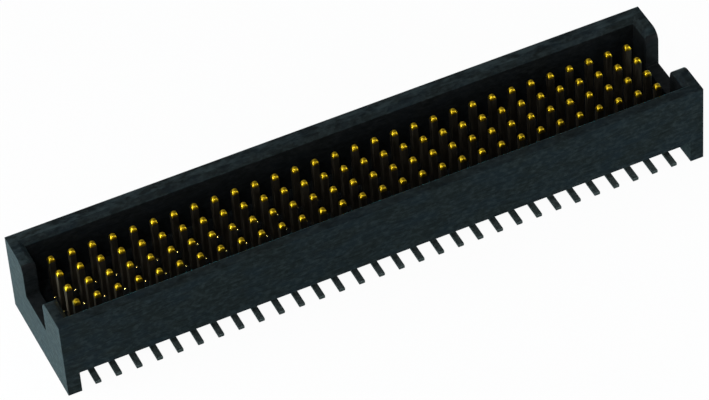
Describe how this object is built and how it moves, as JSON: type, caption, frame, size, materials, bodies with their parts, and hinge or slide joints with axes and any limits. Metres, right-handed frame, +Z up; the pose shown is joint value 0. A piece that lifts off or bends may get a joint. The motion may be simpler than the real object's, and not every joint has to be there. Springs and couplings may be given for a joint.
{
  "type": "shrouded header",
  "caption": "Long black shrouded board header with an open pocket of square gold pins, notched end walls and flat solder feet.",
  "frame": {"origin": "on the board plane, under the middle of the contact field", "axes": "+X along the rows of contacts, +Y across them towards the back wall, +Z up away from the board"},
  "size_m": [0.0406, 0.0082, 0.0055],
  "materials": {
    "housing": "moulded, fine streaks along the length, satin",
    "contact": "gold plated copper alloy, with tinned solder feet"
  },
  "bodies": {
    "root": {"housing": "housing", "front_contact_02": "contact", "front_contact_03": "contact", "front_contact_04": "contact", "front_contact_05": "contact", "front_contact_06": "contact", "front_contact_07": "contact", "front_contact_08": "contact", "front_contact_09": "contact", "front_contact_10": "contact", "front_contact_11": "contact", "front_contact_12": "contact", "front_contact_13": "contact", "front_contact_14": "contact", "front_contact_15": "contact", "front_contact_16": "contact", "front_contact_17": "contact", "front_contact_18": "contact", "front_contact_19": "contact", "front_contact_20": "contact", "front_contact_21": "contact", "front_contact_22": "contact", "front_contact_23": "contact", "front_contact_24": "contact", "front_contact_25": "contact", "front_contact_26": "contact", "front_contact_27": "contact", "front_contact_28": "contact", "front_contact_29": "contact", "back_contact_02": "contact", "back_contact_03": "contact", "back_contact_04": "contact", "back_contact_05": "contact", "back_contact_06": "contact", "back_contact_07": "contact", "back_contact_08": "contact", "back_contact_09": "contact", "back_contact_10": "contact", "back_contact_11": "contact", "back_contact_12": "contact", "back_contact_13": "contact", "back_contact_14": "contact", "back_contact_15": "contact", "back_contact_16": "contact", "back_contact_17": "contact", "back_contact_18": "contact", "back_contact_19": "contact", "back_contact_20": "contact", "back_contact_21": "contact", "back_contact_22": "contact", "back_contact_23": "contact", "back_contact_24": "contact", "back_contact_25": "contact", "back_contact_26": "contact", "back_contact_27": "contact", "back_contact_28": "contact", "back_contact_29": "contact"}
  },
  "joints": []
}
